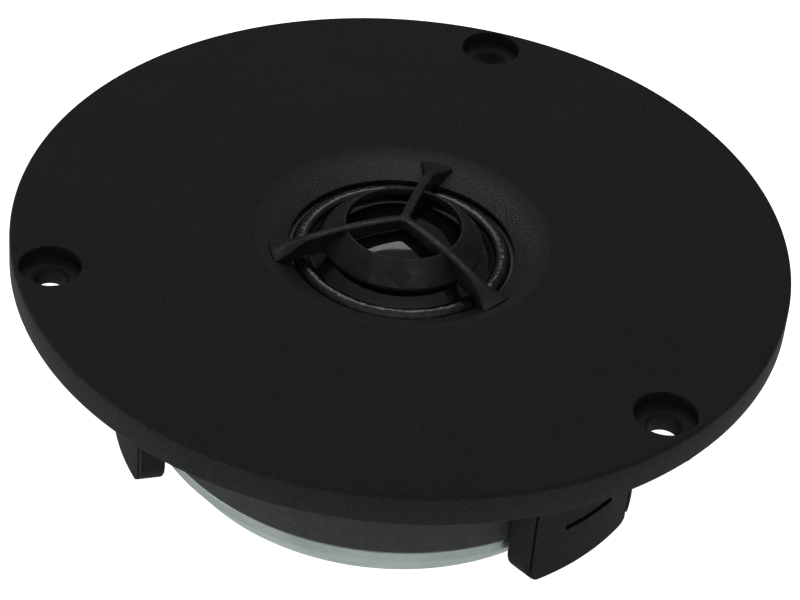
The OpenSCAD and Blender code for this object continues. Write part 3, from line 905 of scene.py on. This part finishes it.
def arm_mesh(angle):
    """One arm: a deep web with a rounded top that widens into a trumpet-shaped foot on the horn."""
    stations = 90
    across = 20
    lift = 0.012
    top_round = 0.16
    foot_round = 0.3
    least_t = 0.12
    bm = bmesh.new()
    rings = []
    for i in range(stations + 1):
        r = FOOT_END_R * i / stations
        half = foot_half(r)
        low = web_z(r) + lift
        top = []
        bottom = []
        for k in range(across + 1):
            y = -half * math.cos(math.pi * k / across)
            x = math.sqrt(r * r - y * y) if r > FOOT_START else r
            side = abs(y) / half
            round_off = top_round * side ** 4
            shoulder = foot_round * foot_share(r) * (arm_z(r) - low) * side ** 2
            top.append((x, y, max(arm_z(r) - round_off - shoulder, low + least_t)))
            bottom.append((x, y, low))
        rings.append([bm.verts.new((x * MM, y * MM, z * MM)) for x, y, z in top + bottom[::-1]])
    for a, b in zip(rings, rings[1:]):
        for k in range(len(a)):
            n = (k + 1) % len(a)
            bm.faces.new((a[k], a[n], b[n], b[k]))
    for end in (rings[0], rings[-1]):
        for k in range(across):
            bm.faces.new((end[k], end[k + 1], end[-2 - k], end[-1 - k]))
    bmesh.ops.transform(bm, matrix=about_z(angle), verts=bm.verts)
    return from_bmesh("arm", bm)


def plug_ring():
    """The plug's ring: a band that slopes down outwards, with rounded edges."""
    crest, crest_inset = 0.25, 0.3
    shoulder, shoulder_rise = 0.3, 0.4
    foot = 0.15
    base_w = 0.6
    inner_h = 0.9
    outline = arc((RING_IN_R + crest_inset, RING_IN_Z - crest), crest, 170, 45, 6)
    outline += arc((RING_OUT_R - shoulder, RING_OUT_Z + shoulder_rise), shoulder, 45, 0, 4)
    outline += arc((RING_OUT_R - foot, RING_OUT_Z + foot), foot, 0, -90, 4)
    outline += [(RING_OUT_R - base_w, RING_OUT_Z), (RING_IN_R, RING_IN_Z - inner_h)]
    return revolve("plug_ring", outline)


def phase_plug():
    """The ring, the three arms and the hub where they meet, as one closed skin."""
    ring = plug_ring()
    lift = 0.04
    low = dome_z(0) + WEB_GAP + lift
    hub_r = 0.9
    edge, edge_drop = 0.3, 0.2
    flat_drop, centre_drop = 0.06, 0.05
    hub = revolve("hub", [
        (0, low), (hub_r, low), (hub_r, HUB_TOP_Z - edge_drop), (hub_r - edge, HUB_TOP_Z - flat_drop),
        (0, HUB_TOP_Z - centre_drop),
    ], segments=48)
    arms = join("arms", [arm_mesh(angle) for angle in SPOKES] + [hub])
    boolean(ring, [arms], "UNION", own_crossings=True)
    weld(ring)
    smooth(ring, 35)
    ring.name = "plug"
    finish_piece(ring, "plug_plastic", "housing", "phase_plug")


# ---- Diaphragm ------------------------------------------------------------------


def round_dome():
    """The dome as a thin shell, with the flat rim that glues it to the surround."""
    rim = 0.4
    inner_step = 0.1
    edge_angle = math.degrees(math.acos(DOME_EDGE_R / DOME_R))
    outer = arc((0, DOME_CENTRE_Z), DOME_R, edge_angle, 90, 40)
    inner = arc((0, DOME_CENTRE_Z), DOME_R - DOME_T, 90, edge_angle, 40)
    # both arcs meet the axis exactly
    outer[-1] = (0, outer[-1][1])
    inner[0] = (0, inner[0][1])
    outline = outer + inner + [
        (DOME_EDGE_R - inner_step, DOME_EDGE_Z), (DOME_EDGE_R + rim, DOME_EDGE_Z),
        (DOME_EDGE_R + rim, DOME_EDGE_Z + DOME_T),
    ]
    dome = smooth(revolve("dome_cap", outline), 40)
    finish_piece(dome, "dome_film", "diaphragm", "dome")


def lump_surround(surround):
    """Raises low lumps of sealant on the roll's outer slope, fading towards its crest and its rim."""
    early = 0.2
    fade_in = 0.5
    fade_out = 0.3
    coarse, coarse_height = 1.1, 0.07
    fine, fine_height = 2.9, 0.035
    for vertex in surround.data.vertices:
        place = vertex.co / MM
        r = math.hypot(place.x, place.y)
        amount = unit((r - ROLL_R + early) / fade_in) * unit((ROLL_END_R - r) / fade_out)
        lump = coarse_height * noise.noise(place * coarse) + fine_height * noise.noise(place * fine)
        vertex.co.z += amount * lump * MM


def round_surround():
    """The half roll, which meets the dome at its inner edge, and its flat rim."""
    step = 0.1
    outline = arc((ROLL_R, ROLL_Z), ROLL_HEIGHT, 180, 0, 24)
    outline += [
        (ROLL_END_R + step, ROLL_Z + FILM_T), (RIM_R, ROLL_Z + FILM_T), (RIM_R, ROLL_Z),
        (ROLL_END_R - FILM_T, ROLL_Z),
    ]
    outline += arc((ROLL_R, ROLL_Z), ROLL_HEIGHT - FILM_T, 0, 180, 24)
    surround = revolve("surround_roll", outline, segments=2 * SEGMENTS)
    lump_surround(surround)
    smooth(surround, 50)
    surround.data.materials.append(LOOKS["surround_film"])
    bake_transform(surround)
    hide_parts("surround")
    # a share across the roll, easing in and out from 0 at its inner edge to 1 at its outer edge, is worked
    # out but nothing uses it
    places = np.array([vertex.co for vertex in surround.data.vertices])
    across = (np.hypot(places[:, 0], places[:, 1]) / MM - (ROLL_R - ROLL_HEIGHT)) / (2 * ROLL_HEIGHT)
    share = np.clip(across, 0, 1)
    share = share * share * (3 - 2 * share)


# ---- Camera ---------------------------------------------------------------------

CAMERA_AZIMUTH = math.radians(12.35)
CAMERA_ELEVATION = math.radians(38.58)
CAMERA_ROLL = math.radians(5.55)
CAMERA_DISTANCE = 0.37838
CAMERA_TARGET = Vector((3.55, -13.99, FRONT_Z)) * MM
CAMERA_LENS = 131.7


def direction(azimuth, elevation):
    """Unit vector towards azimuth (0 is the front, -Y, growing towards +X) and elevation."""
    level = math.cos(elevation)
    return Vector((math.sin(azimuth) * level, -math.cos(azimuth) * level, math.sin(elevation)))


def make_camera():
    """The photograph's own view: a long lens, above the front, rolled slightly."""
    back = direction(CAMERA_AZIMUTH, CAMERA_ELEVATION)
    side = Vector((0, 0, 1)).cross(back).normalized()
    up = back.cross(side)
    rolled_side = side * math.cos(CAMERA_ROLL) + up * math.sin(CAMERA_ROLL)
    rolled_up = up * math.cos(CAMERA_ROLL) - side * math.sin(CAMERA_ROLL)
    data = bpy.data.cameras.new("camera")
    data.lens = CAMERA_LENS
    data.sensor_width = 36
    data.clip_start = 0.01
    camera = add_object("camera", data)
    axes = Matrix((rolled_side, rolled_up, back)).transposed()
    camera.matrix_world = Matrix.Translation(CAMERA_TARGET + back * CAMERA_DISTANCE) @ axes.to_4x4()
    scene.camera = camera


# ---- Light and floor --------------------------------------------------------------


def soft_box(name, azimuth, elevation, distance, size, radiance):
    """A flat panel light that faces the part. Its power follows from its radiance and its area."""
    away = direction(math.radians(azimuth), math.radians(elevation))
    data = bpy.data.lights.new(name, "AREA")
    data.shape = "RECTANGLE"
    data.size, data.size_y = size
    data.energy = radiance * math.pi * size[0] * size[1]
    light = add_object(name, data)
    light.location = CAMERA_TARGET + away * distance
    light.rotation_mode = "QUATERNION"
    light.rotation_quaternion = away.to_track_quat("Z", "Y")


def make_room():
    """A dim room whose ceiling is bright and slightly blue only close to the zenith."""
    world = bpy.data.worlds.new("room")
    world.use_nodes = True
    tree = world.node_tree
    coordinates = tree.nodes.new("ShaderNodeTexCoord")
    split = tree.nodes.new("ShaderNodeSeparateXYZ")
    ramp = tree.nodes.new("ShaderNodeValToRGB")
    stops = ramp.color_ramp.elements
    stops[0].position = 0.0
    stops[0].color = (0.09, 0.094, 0.094, 1)
    stops[1].position = 1.0
    stops[1].color = (0.6, 0.66, 0.72, 1)
    for height, grey in ((0.68, 0.15), (0.8, 0.25), (0.9, 0.31), (0.97, 0.37)):
        stop = stops.new(height)
        stop.color = (grey, 1.06 * grey, 1.1 * grey, 1)
    tree.links.new(coordinates.outputs["Generated"], split.inputs["Vector"])
    tree.links.new(split.outputs["Z"], ramp.inputs["Fac"])
    tree.links.new(ramp.outputs["Color"], tree.nodes["Background"].inputs["Color"])
    scene.world = world


def make_floor():
    """White paper, lit to nearly pure white where it is seen directly."""
    half = 3.0
    z = -0.02 * MM
    mesh = bpy.data.meshes.new("floor")
    corners = [(-half, -half, z), (half, -half, z), (half, half, z), (-half, half, z)]
    mesh.from_pydata(corners, [], [(0, 1, 2, 3)])
    floor = add_object("floor", mesh)
    material = bpy.data.materials.new("floor_paper")
    material.use_nodes = True
    tree = material.node_tree
    shader = tree.nodes["Principled BSDF"]
    shader.inputs["Base Color"].default_value = (0.88, 0.88, 0.88, 1)
    shader.inputs["Roughness"].default_value = 0.9
    shader.inputs["Emission Color"].default_value = (1, 1, 1, 1)
    path = tree.nodes.new("ShaderNodeLightPath")
    glow = tree.nodes.new("ShaderNodeMath")
    glow.operation = "MULTIPLY_ADD"
    glow.inputs[1].default_value = 0.6
    glow.inputs[2].default_value = 0.47
    tree.links.new(path.outputs["Is Camera Ray"], glow.inputs[0])
    tree.links.new(glow.outputs["Value"], shader.inputs["Emission Strength"])
    floor.data.materials.append(material)


make_camera()
make_room()
make_floor()
soft_box("back_box", azimuth=200, elevation=52, distance=0.8, size=(0.6, 0.2), radiance=3.4)
soft_box("front_box", azimuth=12, elevation=51, distance=0.8, size=(0.9, 0.35), radiance=1.15)
soft_box("low_box", azimuth=-62, elevation=3, distance=0.9, size=(0.8, 0.06), radiance=9)

dress_nodes()
face_plate()
round_magnet()
round_back_plate()
phase_plug()
round_dome()
round_surround()
